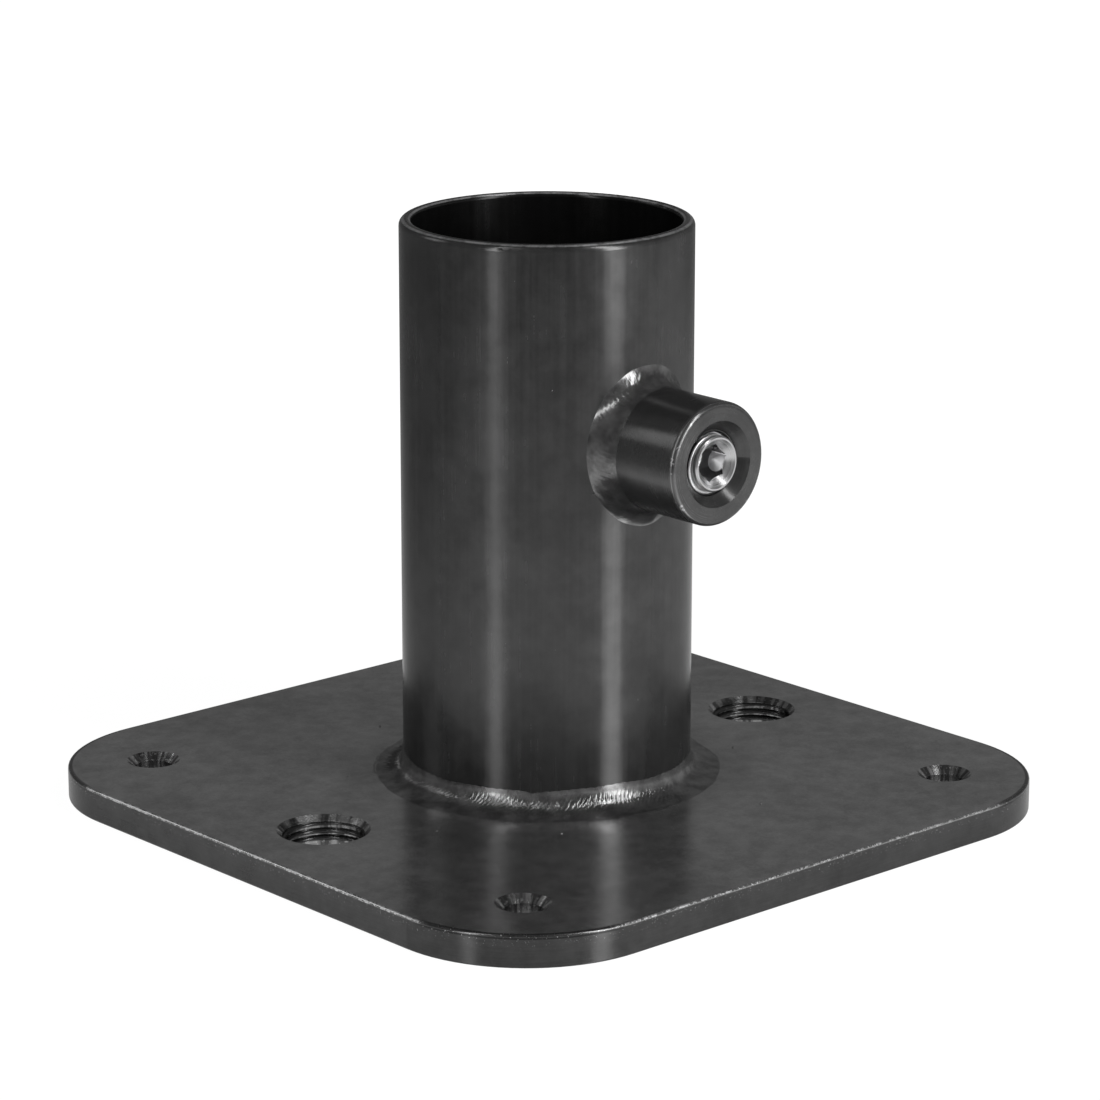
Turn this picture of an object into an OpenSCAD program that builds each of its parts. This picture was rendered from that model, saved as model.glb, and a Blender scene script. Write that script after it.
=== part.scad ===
// Welded base flange for a tube: a round sleeve stands on a square plate, and a set screw in a side boss
// clamps the tube that is dropped into the sleeve.
// The origin is the middle of the plate's underside, +Z runs up the sleeve and the boss points to -Y.

/* [Base plate] */
// Side of the square plate
plate_side = 152.4; // [120:0.1:220]
// Thickness of the plate
plate_thickness = 6.35; // [4:0.05:12]
// Radius of the plate's four corners
corner_radius = 29; // [22:0.5:40]
// Radius of the rounded edge round the plate's top
plate_edge_round = 0.5; // [0.2:0.1:2]
// Radius of the rounded edge round the plate's underside
plate_foot_round = 0.4; // [0.2:0.1:1]

/* [Corner screw holes] */
// Distance from the plate's edges to the middle of a corner hole
corner_hole_inset = 20.4; // [16:0.1:24]
// Diameter of a corner hole
corner_hole_d = 7.6; // [5:0.1:9]
// Diameter of the countersink at its mouth
corner_sink_d = 10.6; // [9.5:0.1:13]

/* [Tapped plate holes] */
// Distance from the plate's edge to the middle of a tapped hole
tapped_hole_inset = 19.05; // [15:0.05:22]
// Diameter of a tapped hole over its thread
tapped_hole_d = 15.9; // [10:0.1:16.5]
// Diameter of the countersink at its mouth
tapped_sink_d = 18; // [17:0.1:20]

/* [Receiver tube] */
// Outer diameter of the tube
tube_od = 57.15; // [45:0.05:75]
// Wall of the tube
tube_wall = 2.41; // [2:0.01:5]
// Length of the tube above the plate
tube_length = 111.1; // [85:0.1:160]
// Radius of the rim's outer edge
rim_outer_round = 1.4; // [0.3:0.1:2]
// Radius of the rim's inner edge
rim_inner_round = 0.9; // [0.2:0.1:1.5]

/* [Clamp boss] */
// Distance from the rim down to the boss's axis
boss_below_rim = 40.1; // [25:0.1:55]
// Diameter of the boss
boss_d = 23.8; // [20:0.1:28]
// Distance from the tube's wall out to the boss's end
boss_standoff = 19.4; // [14:0.1:30]
// Radius of the edge round the boss's end
boss_edge_round = 1.1; // [0.3:0.1:2]
// Diameter of the countersink at the boss's mouth
boss_sink_d = 16.6; // [14.5:0.1:18]

/* [Set screw] */
// Diameter of the set screw over its thread
screw_d = 12.7; // [10:0.1:13.5]
// Radial clearance between the screw and its hole
screw_clearance = 0.05; // [0.02:0.01:0.1]
// Length of the set screw
screw_length = 19.05; // [14:0.05:22]
// Depth of the screw's outer face behind the boss's end
screw_setback = 0.4; // [0:0.1:3]
// Bevel round the screw's outer face
screw_bevel = 0.8; // [0.3:0.1:1.5]
// Bevel round the screw's point
point_bevel = 2.3; // [1:0.1:3]
// Diameter of the cup in the screw's point
cup_d = 6.4; // [3:0.1:7]
// Depth of the cup
cup_depth = 1.6; // [0.5:0.1:2.5]
// Width across the flats of the hexagon socket
socket_width = 6.35; // [4:0.05:7]
// Depth of the hexagon socket
socket_depth = 6.4; // [4:0.1:8]
// Bevel round the socket's mouth
socket_bevel = 1; // [0.2:0.05:1.2]
// Turn of the hexagon, from a corner on +X
socket_turn = 17; // [0:1:59]

/* [Welds] */
// Leg of the fillet weld round the tube's foot
base_weld_leg = 4.3; // [2.5:0.1:6]
// Rise of that weld over a flat face
base_weld_crown = 1.1; // [0.3:0.1:1.5]
// Leg of the boss's weld on the tube, above and below the boss
boss_weld_leg = 4.2; // [2.5:0.1:6]
// Leg of the boss's weld on the tube, beside the boss
boss_weld_side_leg = 1.6; // [1:0.1:5]
// Distance from the tube's front to where the weld ends on the boss
boss_weld_reach = 4.1; // [2.5:0.1:6]
// Rise of the boss's weld over a flat face
boss_weld_crown = 0.7; // [0.3:0.1:1]

/* [Hidden] */
$fn = 96;

// A cut runs this far past the face that it opens
past = 1;
// Shares of the tube's wall that the rim's two rounded edges take at most
outer_share = 0.58;
inner_share = 0.38;
// Full angle of a drill's point, which closes the socket
drill_point = 118;

// Stations round the boss's weld and steps across its face
weld_stations = 60;
weld_steps = 6;
// The weld's face runs on into the metal by this share of its width, and its root lies this deep in it
weld_tuck = 0.1;
weld_root = 2;

steel = [0.27, 0.27, 0.28];
bead = [0.42, 0.42, 0.43];
plated = [0.72, 0.73, 0.75];

tube_r = tube_od / 2;
bore_r = tube_r - tube_wall;
rim_z = plate_thickness + tube_length;
boss_r = boss_d / 2;
boss_z = rim_z - boss_below_rim;
boss_end = tube_r + boss_standoff;
screw_r = screw_d / 2;
screw_hole_r = screw_r + screw_clearance;
screw_face = boss_end - screw_setback;
socket_corner_r = socket_width / 2 / cos(30);

corner_at = plate_side / 2 - corner_hole_inset;
tapped_at = plate_side / 2 - tapped_hole_inset;
corner_places = [for (x = [-1, 1], y = [-1, 1]) [x, y, 0] * corner_at];
tapped_places = [for (x = [-1, 1]) [x, 0, 0] * tapped_at];

// A quarter disc, which rounds the upper right corner of a section
module quarter(r) {
    intersection() {
        circle(r = r);
        square(r);
    }
}

// Half section of a round bar from its axis out to r, with rounded outer edges
module bar_section(r, length, low_round, high_round) {
    translate([0, low_round]) square([r, length - low_round - high_round]);
    square([r - low_round, length - high_round]);
    square([r - high_round, length]);
    translate([r - low_round, low_round]) mirror([0, 1]) quarter(low_round);
    translate([r - high_round, length - high_round]) quarter(high_round);
}

// A cone that widens upwards to its mouth on the plane z = 0, and runs on past it
module countersink(mouth_r, throat_r, depth) {
    widening = (mouth_r - throat_r) / depth;
    translate([0, 0, -depth])
        cylinder(r1 = throat_r, r2 = mouth_r + widening * past, h = depth + past);
}

// Turns what stands on z = 0 so that it points out along the boss, from the tube's middle
module out_along_boss() {
    translate([0, 0, boss_z]) rotate([90, 0, 0]) children();
}

// A hole right through the plate, with a square cone at its mouth
module plate_hole(hole_d, sink_d) {
    translate([0, 0, -past]) cylinder(d = hole_d, h = plate_thickness + 2 * past);
    translate([0, 0, plate_thickness]) countersink(sink_d / 2, hole_d / 2, (sink_d - hole_d) / 2);
}

module plate_section(reach) {
    bar_section(reach, plate_thickness, plate_foot_round, plate_edge_round);
}

// The plate is a cross of four flanks with a round puck in each of its corners
module base_plate() {
    straight = plate_side - 2 * corner_radius;
    color(steel)
    difference() {
        union() {
            for (turn = [0 : 90 : 270])
                rotate(turn) translate([0, straight / 2, 0]) rotate([90, 0, 0])
                    linear_extrude(straight) plate_section(plate_side / 2);
            for (x = [-1, 1], y = [-1, 1])
                translate([x, y, 0] * straight / 2)
                    rotate_extrude() plate_section(corner_radius);
        }
        for (place = corner_places) translate(place) plate_hole(corner_hole_d, corner_sink_d);
        for (place = tapped_places) translate(place) plate_hole(tapped_hole_d, tapped_sink_d);
    }
}

// The tube stands on the plate, and its rim is rounded inside and out
module receiver_tube() {
    outer = min(rim_outer_round, outer_share * tube_wall);
    inner = min(rim_inner_round, inner_share * tube_wall);
    color(steel)
    difference() {
        translate([0, 0, plate_thickness]) rotate_extrude() {
            translate([bore_r, 0]) square([tube_wall, tube_length - max(outer, inner)]);
            translate([bore_r + inner, 0]) square([tube_wall - inner - outer, tube_length]);
            translate([bore_r, 0]) square([inner, tube_length - inner]);
            translate([tube_r - outer, 0]) square([outer, tube_length - outer]);
            translate([tube_r - outer, tube_length - outer]) quarter(outer);
            translate([bore_r + inner, tube_length - inner]) mirror([1, 0]) quarter(inner);
        }
        out_along_boss() cylinder(r = screw_hole_r, h = boss_end);
    }
}

// The boss is coped to the tube's wall and tapped right through
module clamp_boss() {
    color(steel)
    difference() {
        out_along_boss() rotate_extrude()
            bar_section(boss_r, boss_end, boss_edge_round, boss_edge_round);
        cylinder(r = tube_r, h = rim_z + past);
        out_along_boss() cylinder(r = screw_hole_r, h = boss_end + past);
        out_along_boss() translate([0, 0, boss_end])
            countersink(boss_sink_d / 2, screw_hole_r, boss_sink_d / 2 - screw_hole_r);
    }
}

// The screw is drawn with its outer face on z = 0 and its point below
module set_screw() {
    sink_r = socket_corner_r + socket_bevel;
    drill_depth = socket_width / 2 / tan(drill_point / 2);
    color(plated)
    out_along_boss() translate([0, 0, screw_face]) difference() {
        rotate_extrude() polygon([
            [0, 0], [screw_r - screw_bevel, 0], [screw_r, -screw_bevel],
            [screw_r, point_bevel - screw_length], [screw_r - point_bevel, -screw_length], [0, -screw_length]]);
        rotate(socket_turn) translate([0, 0, -socket_depth])
            cylinder(r = socket_corner_r, h = socket_depth + past, $fn = 6);
        translate([0, 0, -socket_depth - drill_depth])
            cylinder(r1 = 0, r2 = socket_width / 2, h = drill_depth);
        countersink(sink_r, socket_width / 2, sink_r - socket_width / 2);
        translate([0, 0, -screw_length]) mirror([0, 0, 1]) countersink(cup_d / 2, 0, cup_depth);
    }
}

// The weld's face is an arc through both toes, so its middle lies on the diagonal below the root
module base_weld() {
    half_chord = base_weld_leg / sqrt(2);
    face_r = (pow(half_chord, 2) + pow(base_weld_crown, 2)) / (2 * base_weld_crown);
    middle = base_weld_leg / 2 - (face_r - base_weld_crown) / sqrt(2);
    color(bead)
    translate([0, 0, plate_thickness]) rotate_extrude() translate([tube_r, 0]) intersection() {
        square(base_weld_leg);
        translate([middle, middle]) circle(r = face_r);
    }
}

// The point of the tube's wall that lies the given distance out from the boss, at an angle round its axis
function wall_point(angle, out) =
    let (x = (boss_r + out) * cos(angle))
    [x, -sqrt(tube_r * tube_r - x * x), boss_z + (boss_r + out) * sin(angle)];

// The weld's toe on the boss lies in one plane, and its toe on the tube comes close beside the boss
function boss_toe(angle) = [boss_r * cos(angle), -tube_r - boss_weld_reach, boss_z + boss_r * sin(angle)];
function tube_toe(angle) =
    wall_point(angle, boss_weld_side_leg + (boss_weld_leg - boss_weld_side_leg) * pow(sin(angle), 2));

// The part of v that stands square to the given direction, at unit length
function square_to(direction, v) =
    let (rest = v - direction * (v * direction) / (direction * direction))
    rest / norm(rest);

// A point on the weld's face: share 0 is its toe on the boss, share 1 its toe on the tube
function face_point(angle, share) =
    let (from = boss_toe(angle),
         across = tube_toe(angle) - from,
         away = square_to(across, from - wall_point(angle, 0)))
    from + share * across + 4 * boss_weld_crown * share * (1 - share) * away;

// A section of the weld: its face, tucked into the metal at both toes, and its root
function weld_section(angle) = concat(
    [for (k = [0 : weld_steps]) face_point(angle, k / weld_steps * (1 + 2 * weld_tuck) - weld_tuck)],
    [wall_point(angle, -weld_root) + [0, weld_root, 0]]);

// The weld follows the saddle where the boss meets the tube, and both of them are cut out of it
module boss_weld() {
    side = weld_steps + 2;
    points = [for (k = [0 : weld_stations - 1]) each weld_section(360 * k / weld_stations)];
    faces = [for (k = [0 : weld_stations - 1], j = [0 : side - 1])
        let (here = k * side, next = (k + 1) % weld_stations * side, up = (j + 1) % side)
        [here + j, next + j, next + up, here + up]];
    color(bead)
    difference() {
        polyhedron(points, faces);
        cylinder(r = tube_r, h = rim_z + past);
        out_along_boss() cylinder(r = boss_r, h = boss_end);
    }
}

base_plate();
receiver_tube();
clamp_boss();
set_screw();
base_weld();
boss_weld();
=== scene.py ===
# Looks of a welded tube clamp flange in dark satin steel: rippled welds, cut threads and worn edges.
import math

import bmesh
import bpy
from mathutils import Matrix, Vector


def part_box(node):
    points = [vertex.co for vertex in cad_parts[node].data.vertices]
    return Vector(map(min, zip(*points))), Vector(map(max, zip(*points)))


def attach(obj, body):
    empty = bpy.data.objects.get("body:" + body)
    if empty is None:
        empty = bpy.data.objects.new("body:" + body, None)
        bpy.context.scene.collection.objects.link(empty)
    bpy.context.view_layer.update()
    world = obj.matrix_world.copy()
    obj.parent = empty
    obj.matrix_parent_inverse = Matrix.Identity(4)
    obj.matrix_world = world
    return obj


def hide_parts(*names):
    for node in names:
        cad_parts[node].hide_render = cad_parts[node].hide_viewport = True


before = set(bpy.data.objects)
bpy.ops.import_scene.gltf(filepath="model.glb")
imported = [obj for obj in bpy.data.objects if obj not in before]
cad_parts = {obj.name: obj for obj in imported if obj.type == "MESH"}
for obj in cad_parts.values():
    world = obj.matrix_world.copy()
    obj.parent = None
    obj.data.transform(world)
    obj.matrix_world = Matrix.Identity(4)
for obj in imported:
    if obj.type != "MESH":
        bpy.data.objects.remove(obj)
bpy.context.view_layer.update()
mm = 0.001


# Sizes that the frame gives
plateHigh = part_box("base_plate")[1]
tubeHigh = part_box("receiver_tube")[1]
bossLow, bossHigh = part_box("clamp_boss")
screwLow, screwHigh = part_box("set_screw")
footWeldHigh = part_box("base_weld")[1]
bossWeldLow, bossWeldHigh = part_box("boss_weld")
plateHalf = plateHigh.x
plateTop = plateHigh.z
tubeRadius = tubeHigh.x
rimHeight = tubeHigh.z
bossRadius = bossHigh.x
bossHeight = (bossLow.z + bossHigh.z) / 2
bossEnd = -bossLow.y
screwFace = -screwLow.y
screwTip = -screwHigh.y
footWeldLeg = footWeldHigh.x - tubeRadius
print("frame read: tube", round(tubeRadius / mm, 2), "mm in radius, rim at", round(rimHeight / mm, 2), "mm")


def polar(angle, distance, height):
    return (distance * math.cos(math.radians(angle)), distance * math.sin(math.radians(angle)), height)


class Sheet:
    # Short ways to add and join the nodes of one tree
    def __init__(self, tree):
        self.tree = tree

    def node(self, kind, inputs=None, **settings):
        made = self.tree.nodes.new(kind)
        for name, value in settings.items():
            setattr(made, name, value)
        for name, value in (inputs or {}).items():
            self.feed(made.inputs[name], value)
        return made

    def feed(self, socket, value):
        if isinstance(value, bpy.types.NodeSocket):
            self.tree.links.new(value, socket)
        else:
            socket.default_value = value

    def math(self, operation, *values, clamp=False):
        made = self.node("ShaderNodeMath", operation=operation, use_clamp=clamp)
        for socket, value in zip(made.inputs, values):
            self.feed(socket, value)
        return made.outputs[0]

    def chain(self, operation, first, others):
        for other in others:
            first = self.math(operation, first, other)
        return first

    def plus(self, first, *others):
        return self.chain("ADD", first, others)

    def minus(self, first, *others):
        return self.chain("SUBTRACT", first, others)

    def times(self, first, *others):
        return self.chain("MULTIPLY", first, others)

    def radius(self, first, second):
        return self.math("SQRT", self.plus(self.times(first, first), self.times(second, second)))

    def vector(self, operation, *values, scale=None):
        made = self.node("ShaderNodeVectorMath", operation=operation)
        for socket, value in zip(made.inputs, values):
            self.feed(socket, value)
        if scale is not None:
            self.feed(made.inputs["Scale"], scale)
        return made.outputs["Value" if operation in ("LENGTH", "DOT_PRODUCT") else "Vector"]

    def point(self, x, y, z=0.0):
        return self.node("ShaderNodeCombineXYZ", {"X": x, "Y": y, "Z": z}).outputs[0]

    def split(self, vector):
        made = self.node("ShaderNodeSeparateXYZ", {"Vector": vector})
        return made.outputs[0], made.outputs[1], made.outputs[2]

    def ramp(self, value, low, high, toLow=0.0, toHigh=1.0):
        return self.node("ShaderNodeMapRange", {
            "Value": value, "From Min": low, "From Max": high, "To Min": toLow, "To Max": toHigh},
            interpolation_type="SMOOTHSTEP").outputs["Result"]

    def spread(self, noise, toLow, toHigh):
        # Noise keeps near its middle, and this widens it to a range
        return self.ramp(noise, 0.3, 0.7, toLow, toHigh)

    def peak(self, value, middle, width):
        return self.ramp(self.math("ABSOLUTE", self.minus(value, middle)), 0.0, width, 1.0, 0.0)

    def noise(self, where, scale, detail=3.0, rough=0.5):
        return self.node("ShaderNodeTexNoise", {
            "Vector": where, "Scale": scale, "Detail": detail, "Roughness": rough}).outputs["Fac"]

    def stretched(self, where, scale):
        return self.node("ShaderNodeMapping", {"Vector": where, "Scale": scale}).outputs[0]

    def mixColour(self, share, first, second):
        return self.node("ShaderNodeMix", {0: share, 6: first, 7: second}, data_type="RGBA").outputs[2]

    def mixValue(self, share, first, second):
        return self.node("ShaderNodeMix", {0: share, 2: first, 3: second}, data_type="FLOAT").outputs[0]

    def greyOf(self, level):
        return self.node("ShaderNodeCombineColor", {"Red": level, "Green": level, "Blue": level}).outputs[0]


def grey(level):
    return (level, level, level * 1.01, 1.0)


# What all steel finishes share, unless a piece says otherwise. Distances on the object are in millimetres,
# scales are per millimetre, and levels are linear greys
steelLook = {
    "edgeTint": 0.65,
    "wornLevel": 0.75,
    "wornRough": 0.42,
    "cloudScale": 0.07,
    "cloudDepth": 0.14,
    "stainScale": 0.28,
    "grainScale": 2.6,
    "mottle": 0.06,
    "roughSpread": 0.02,
    "bump": 0.004,
    "waves": 0.0,
}


def newFinish(name):
    material = bpy.data.materials.new(name)
    material.use_nodes = True
    sheet = Sheet(material.node_tree)
    shader = material.node_tree.nodes["Principled BSDF"]
    where = sheet.node("ShaderNodeTexCoord").outputs["Object"]
    inMm = sheet.vector("SCALE", where, scale=1 / mm)
    return material, sheet, shader, inMm


def satinSteel(sheet, shader, inMm, worn, pieceLook, level=None, metal=None, grain=None, dim=None):
    # Dark satin steel with cloudy tone and fine grain, and bright metal where it is worn. The lower the
    # metal share, the more of the dull oxide shows under the gloss
    look = {**steelLook, **pieceLook}
    level = look["level"] if level is None else level
    metal = look["metal"] if metal is None else metal
    cloud = sheet.noise(inMm, look["cloudScale"], 5.0, 0.6)
    grain = sheet.noise(inMm, look["grainScale"], 4.0, 0.65) if grain is None else grain
    stains = sheet.noise(inMm, look["stainScale"], 5.0, 0.7)
    tone = sheet.plus(sheet.spread(cloud, 1 - look["cloudDepth"], 1 + look["cloudDepth"]),
                      sheet.spread(grain, -look["mottle"], look["mottle"]),
                      sheet.spread(stains, -look["mottle"], look["mottle"]))
    if dim is not None:
        tone = sheet.times(tone, dim)
    steel = sheet.vector("SCALE", sheet.point(level, level, level), scale=tone)
    sheet.feed(shader.inputs["Base Color"], sheet.mixColour(worn, steel, grey(look["wornLevel"])))
    sheet.feed(shader.inputs["Metallic"], sheet.mixValue(worn, metal, 1.0))
    tint = look["edgeTint"]
    shader.inputs["Specular Tint"].default_value = (tint, tint, tint, 1.0)
    rough, more = look["rough"], look["roughSpread"]
    roughness = sheet.plus(sheet.ramp(cloud, 0.35, 0.65, rough - more, rough + more),
                           sheet.spread(grain, -more, more))
    sheet.feed(shader.inputs["Roughness"], sheet.mixValue(worn, roughness, look["wornRough"]))
    if not look["bump"]:
        return
    bump = sheet.node("ShaderNodeBump", {"Height": grain, "Strength": 0.5, "Distance": look["bump"] * mm})
    if look["waves"]:
        bump = sheet.node("ShaderNodeBump", {
            "Height": stains, "Strength": 1.0, "Distance": look["waves"] * mm, "Normal": bump.outputs[0]})
    sheet.feed(shader.inputs["Normal"], bump.outputs[0])


def speckle(sheet, inMm, size, share):
    # Scattered worn flecks: size in millimetres, share of the surface that they take
    flecks = sheet.noise(inMm, 1 / size, 2.0, 0.7)
    return sheet.ramp(flecks, 0.66 - share, 0.72 - share)


plateLook = {
    "rough": 0.22,
    "topLevel": 0.36,
    "topMetal": 0.88,
    "sideLevel": 0.05,
    "sideMetal": 0.45,
    "edgeTint": 0.85,
    "mottle": 0.1,
    "bump": 0.006,
    "waves": 0.016,
    "cornerRadius": 29.0,
    "holeInset": 20.4,
    "holeSink": 5.3,
    "tappedInset": 19.05,
    "tappedSink": 9.0,
    "leftWearAndSheen": 0.32,
    "rightWearAndSheen": 0.18,
    "wearAndSheenStart": 0.2,
    "raggedWearAndSheen": (0.05, 1.35),
    "straightUpTo": (1.0, 5.5),
    "nickSize": 0.32,
    "nickShare": 0.005,
    "nickWear": 0.7,
    "nickWidth": 1.4,
    "nickDepth": (0.4, 3.2),
    "cutLevel": (0.1, 0.4),
    "cutMetal": 0.9,
    "cutFleckSize": 0.8,
    "cutFleckShare": 0.06,
    "cutFleckLevel": 0.3,
    "heatRing": 34.1,
    "ringWander": 0.5,
    "ringWidth": 0.45,
    "ringSoot": 0.5,
    "haloWidth": 11.0,
    "haloShadeLevel": 0.16,
    "cornerShadeLevel": 0.7,
}


def plateEdge(sheet, inMm, across, along, fromTop):
    # Gives the worn edges, which are partly a painted highlight along the straight sides, the distance over
    # the rounded edge and where a side is straight
    look = plateLook
    inner = plateHalf / mm - look["cornerRadius"]
    overX = sheet.math("MAXIMUM", sheet.minus(across, inner), 0.0)
    overY = sheet.math("MAXIMUM", sheet.minus(along, inner), 0.0)
    fromEdge = sheet.minus(look["cornerRadius"], sheet.radius(overX, overY))
    straight = sheet.ramp(sheet.math("MINIMUM", overX, overY), *look["straightUpTo"], 1.0, 0.0)
    # The left and right sides get a wider bright line than the other two
    leftOrRight = sheet.ramp(sheet.minus(across, along), -4.0, 4.0)
    ragged = sheet.ramp(sheet.noise(inMm, 0.9, 4.0, 0.75), 0.4, 0.6, *look["raggedWearAndSheen"])
    width = sheet.times(sheet.mixValue(leftOrRight, look["rightWearAndSheen"], look["leftWearAndSheen"]), ragged)
    bevel = sheet.plus(fromEdge, fromTop)  # about 0.29 mm in the middle of the rounded edge
    share = sheet.math("DIVIDE", sheet.minus(bevel, look["wearAndSheenStart"]), width)
    # the bright line is worn metal and partly a painted highlight, and it stops short of the corners
    edge = sheet.times(sheet.ramp(share, 0.45, 1.0, 1.0, 0.0), straight)
    nicks = sheet.times(speckle(sheet, inMm, look["nickSize"], look["nickShare"]),
                        sheet.ramp(fromEdge, 0.0, look["nickWidth"], 1.0, 0.0),
                        sheet.ramp(fromTop, *look["nickDepth"], 1.0, 0.0), look["nickWear"])
    return sheet.math("MAXIMUM", edge, nicks, clamp=True), bevel, straight


def plateHoles(sheet, inMm, across, along, y):
    # Gives the machined cones and walls of the holes, and their level with the cutter's chatter
    look = plateLook
    half = plateHalf / mm
    holeMiddle, tappedMiddle = half - look["holeInset"], half - look["tappedInset"]
    corner = sheet.point(sheet.minus(across, holeMiddle), sheet.minus(along, holeMiddle))
    tapped = sheet.point(sheet.minus(across, tappedMiddle), y)
    inCorner, inTapped = (
        sheet.ramp(sheet.vector("LENGTH", where), sink - 0.05, sink + 0.05, 1.0, 0.0)
        for where, sink in ((corner, look["holeSink"]), (tapped, look["tappedSink"])))
    nearest = sheet.node("ShaderNodeMix", {0: inTapped, 4: corner, 5: tapped}, data_type="VECTOR").outputs[1]
    outwards = sheet.vector("SCALE", sheet.vector("NORMALIZE", nearest), scale=5.0)
    drift = sheet.vector("SCALE", inMm, scale=0.12)
    chatter = sheet.noise(sheet.vector("ADD", outwards, drift), 1.0, 2.0, 0.6)
    flecks = speckle(sheet, inMm, look["cutFleckSize"], look["cutFleckShare"])
    cut = sheet.plus(sheet.ramp(chatter, 0.4, 0.62, *look["cutLevel"]),
                     sheet.times(flecks, look["cutFleckLevel"]))
    return sheet.math("MAXIMUM", inCorner, inTapped), cut


def plateFinish():
    look = plateLook
    material, sheet, shader, inMm = newFinish("plate steel")
    x, y, z = sheet.split(inMm)
    across = sheet.math("ABSOLUTE", x)
    along = sheet.math("ABSOLUTE", y)
    fromTop = sheet.minus(plateTop / mm, z)
    worn, bevel, straight = plateEdge(sheet, inMm, across, along, fromTop)
    machined, cut = plateHoles(sheet, inMm, across, along, y)
    # Heated ring round the foot weld, closed by a thin dark line, with painted shade fading out beyond it
    wander = sheet.spread(sheet.noise(inMm, 0.12, 3.0, 0.6), -look["ringWander"], look["ringWander"])
    fromRing = sheet.minus(sheet.plus(sheet.radius(x, y), wander), look["heatRing"])
    soot = sheet.times(sheet.peak(fromRing, 0.0, look["ringWidth"]), look["ringSoot"])
    # painted shade on the plate just outside the ring, beside the weld
    weldHaloShade = sheet.times(sheet.ramp(fromRing, 0.0, look["haloWidth"], look["haloShadeLevel"], 0.0),
                       sheet.ramp(fromRing, -0.2, 0.3))
    # Painted shade darkens the rounded edge on the corners
    dark = sheet.times(sheet.ramp(bevel, 0.75, 1.0, 1.0, 0.0), sheet.minus(1.0, straight), look["cornerShadeLevel"])
    onSide = sheet.ramp(fromTop, 0.3, 0.6)
    level = sheet.mixValue(onSide, look["topLevel"], look["sideLevel"])
    metal = sheet.mixValue(onSide, look["topMetal"], look["sideMetal"])
    # Fine lines run along the sides
    grain = sheet.mixValue(onSide, sheet.noise(inMm, 1.7, 5.0, 0.7),
                           sheet.noise(sheet.stretched(inMm, (0.12, 0.12, 4.0)), 1.0, 4.0, 0.6))
    # dim carries the heated ring, and the painted shade beside the weld and on the corners
    satinSteel(sheet, shader, inMm, worn, look, level=sheet.mixValue(machined, level, cut),
               metal=sheet.mixValue(machined, metal, look["cutMetal"]), grain=grain,
               dim=sheet.minus(1.0, soot, weldHaloShade, dark))
    return material


tubeLook = {
    "level": 0.064,
    "metal": 0.68,
    "rough": 0.24,
    "edgeTint": 0.5,
    "bump": 0.0,
    "anisotropy": 0.5,
    "grainTurn": 0.25,
    "streaks": (1.1, 1.1, 0.02),
    "rimWearAndSheen": 1.0,
    "hairlineAt": 0.2,
    "hairlineWidth": 0.24,
    "boreDepth": (2.3, 1.2),
    "boreShadeLevel": 0.22,
    "footReach": (3.0, 22.0),
    "footShadeLevel": 0.86,
}


def tubeFinish():
    look = tubeLook
    material, sheet, shader, inMm = newFinish("tube steel")
    x, y, z = sheet.split(inMm)
    # Painted shade inside the bore, fading out across the rim
    boreDeep, boreShallow = (tubeRadius / mm - depth for depth in look["boreDepth"])
    boreShade = sheet.ramp(sheet.radius(x, y), boreDeep, boreShallow, look["boreShadeLevel"], 1.0)
    # Worn hairline round the rim, where its rounded edges meet its top, which also serves as a painted
    # highlight along the rim
    fromRim = sheet.minus(rimHeight / mm, z)
    hairline = sheet.times(sheet.peak(fromRim, look["hairlineAt"], look["hairlineWidth"]),
                           sheet.ramp(fromRim, 0.02, 0.1))
    flecks = sheet.ramp(sheet.noise(inMm, 0.35, 3.0, 0.7), 0.35, 0.6, 0.35, 1.0)
    worn = sheet.times(hairline, sheet.times(flecks, look["rimWearAndSheen"]))
    streaks = sheet.noise(sheet.stretched(inMm, look["streaks"]), 1.0, 2.0, 0.5)
    # Painted shade near the foot, darker towards the plate, deepening the plate's dark reflection
    footLow, footHigh = (plateTop / mm + rise for rise in look["footReach"])
    foot = sheet.ramp(z, footLow, footHigh, look["footShadeLevel"], 1.0)
    satinSteel(sheet, shader, inMm, worn, look, grain=streaks, dim=sheet.times(boreShade, foot))
    shader.inputs["Anisotropic"].default_value = look["anisotropy"]
    shader.inputs["Anisotropic Rotation"].default_value = look["grainTurn"]
    return material


bossLook = {
    "level": 0.085,
    "metal": 0.7,
    "rough": 0.25,
    "bump": 0.006,
    "anisotropy": 0.6,
    "grainTurn": 0.25,
    "ringScale": 3.2,
    "knockReach": (0.5, 1.0),
    "knockSize": 1.6,
    "knockShare": 0.05,
    "knockWear": 0.5,
    "hairlineAt": 0.72,
    "hairlineWidth": 0.1,
    "hairlineWear": 0.1,
}


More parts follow.
